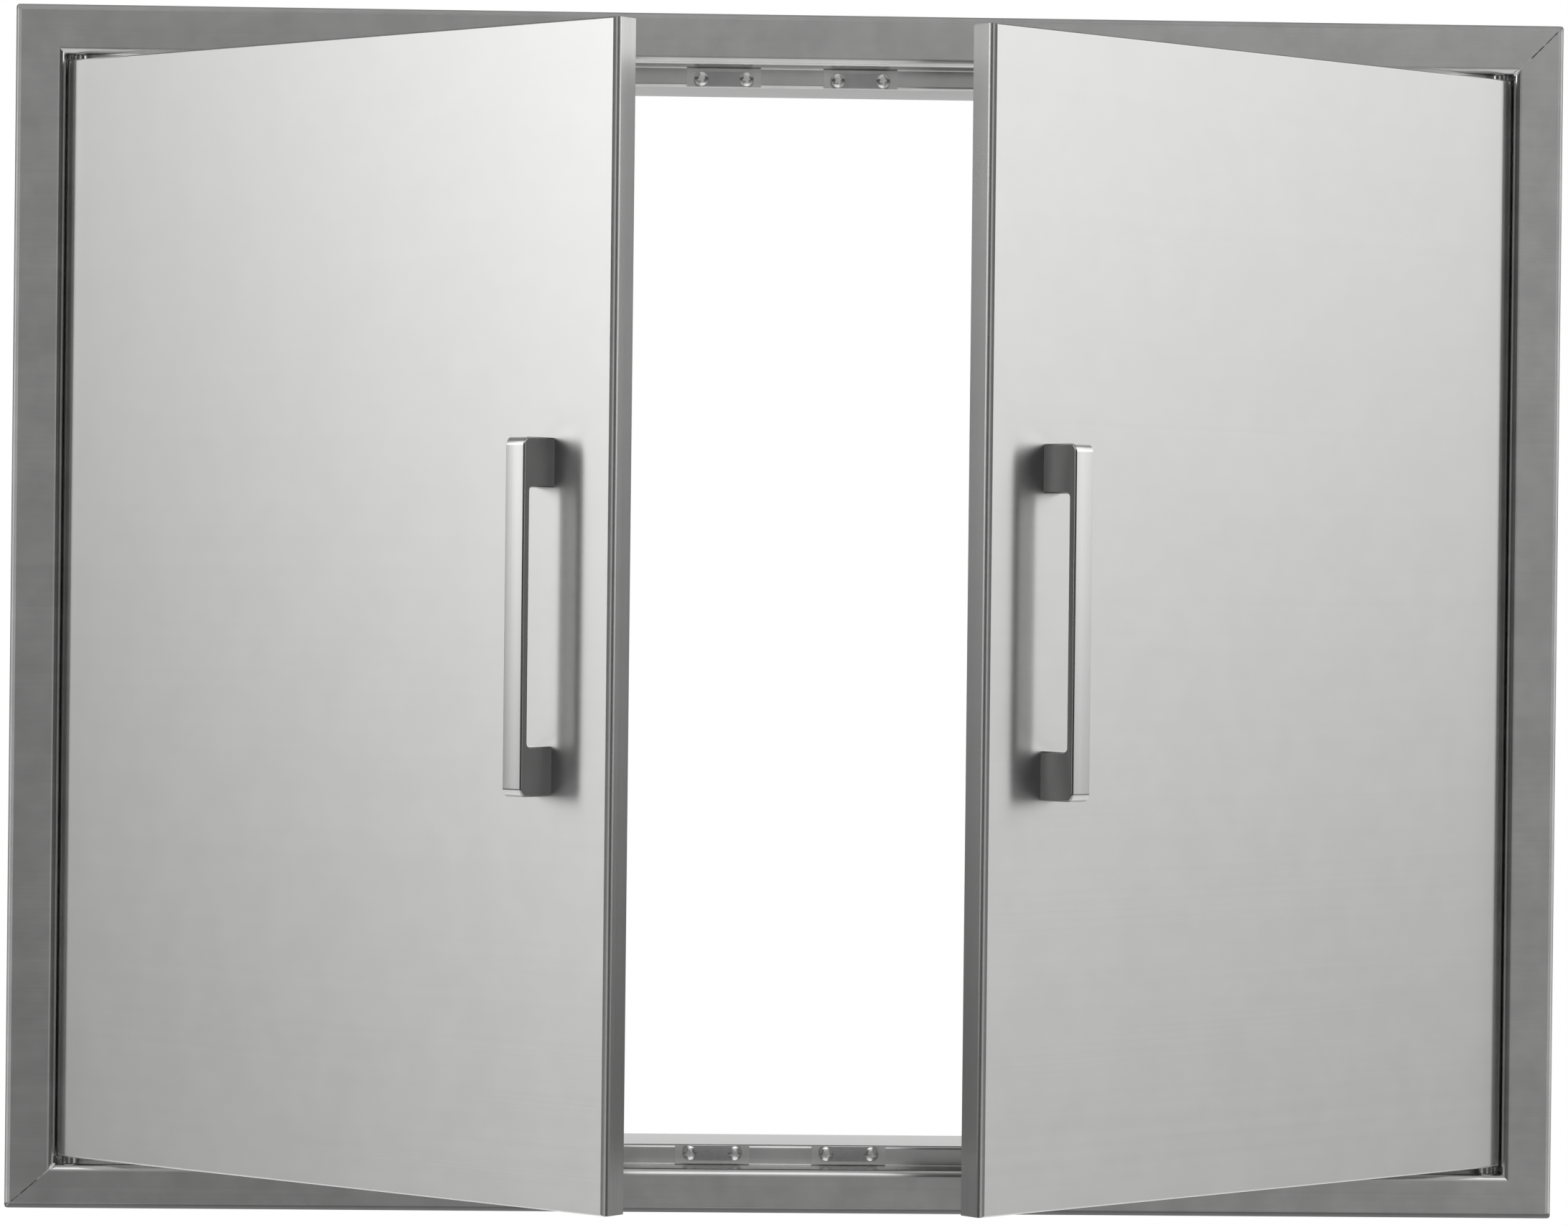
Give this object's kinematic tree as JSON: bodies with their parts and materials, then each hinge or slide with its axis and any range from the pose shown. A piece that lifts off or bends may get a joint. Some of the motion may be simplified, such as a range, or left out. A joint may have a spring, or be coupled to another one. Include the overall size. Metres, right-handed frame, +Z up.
{
  "type": "bbq island access door",
  "caption": "Double access door for an outdoor kitchen island: brushed stainless face frame with a sleeve, hinged doors on corner pivots, bar handles and magnetic catches.",
  "frame": {"origin": "centre of the face frame's outline, on the plane of the island's wall that the frame's return lip rests on", "axes": "+Y into the island, square to its wall; +X to the user's right along the frame's long side; +Z up"},
  "size_m": [0.7874, 0.2999, 0.6096],
  "materials": {
    "frame_steel": "brushed along each leg, satin",
    "door_steel": "brushed level, satin",
    "liner_steel": "mill finish with a faint level grain",
    "handle_steel": "brushed along the bar, bright sides",
    "bright_steel": "turned bright: pins, bushes and screws",
    "catch_plate": "stamped, satin",
    "magnet": "grey, smooth",
    "strike_steel": "plain magnetic steel, satin"
  },
  "bodies": {
    "frame": {"frame_upper_left_half": "frame_steel", "frame_lower_right_half": "frame_steel", "catch_plate_upper_left": "catch_plate", "catch_magnet_upper_left": "magnet", "catch_plate_upper_right": "catch_plate", "catch_magnet_upper_right": "magnet", "catch_plate_lower_left": "catch_plate", "catch_magnet_lower_left": "magnet", "catch_plate_lower_right": "catch_plate", "catch_magnet_lower_right": "magnet", "left_pivot_pin_upper": "bright_steel", "left_pivot_pin_lower": "bright_steel", "right_pivot_pin_upper": "bright_steel", "right_pivot_pin_lower": "bright_steel"},
    "left_door": {"left_door_outer_pan": "door_steel", "left_door_back_liner": "liner_steel", "left_door_strike_plate_upper": "strike_steel", "left_door_strike_plate_lower": "strike_steel", "left_door_pivot_bush_upper": "bright_steel", "left_door_pivot_bush_lower": "bright_steel", "left_door_handle": "handle_steel"},
    "right_door": {"right_door_outer_pan": "door_steel", "right_door_back_liner": "liner_steel", "right_door_strike_plate_upper": "strike_steel", "right_door_strike_plate_lower": "strike_steel", "right_door_pivot_bush_upper": "bright_steel", "right_door_pivot_bush_lower": "bright_steel", "right_door_handle": "handle_steel"}
  },
  "joints": [
    {"name": "left_door_hinge", "type": "hinge", "parent": "frame", "child": "left_door", "pos_m": [-0.3615, -0.0015, 0], "axis": [0, 0, -1], "range_deg": [-40, 65]},
    {"name": "right_door_hinge", "type": "hinge", "parent": "frame", "child": "right_door", "pos_m": [0.3615, -0.0015, 0], "axis": [0, 0, 1], "range_deg": [-39, 66]}
  ]
}
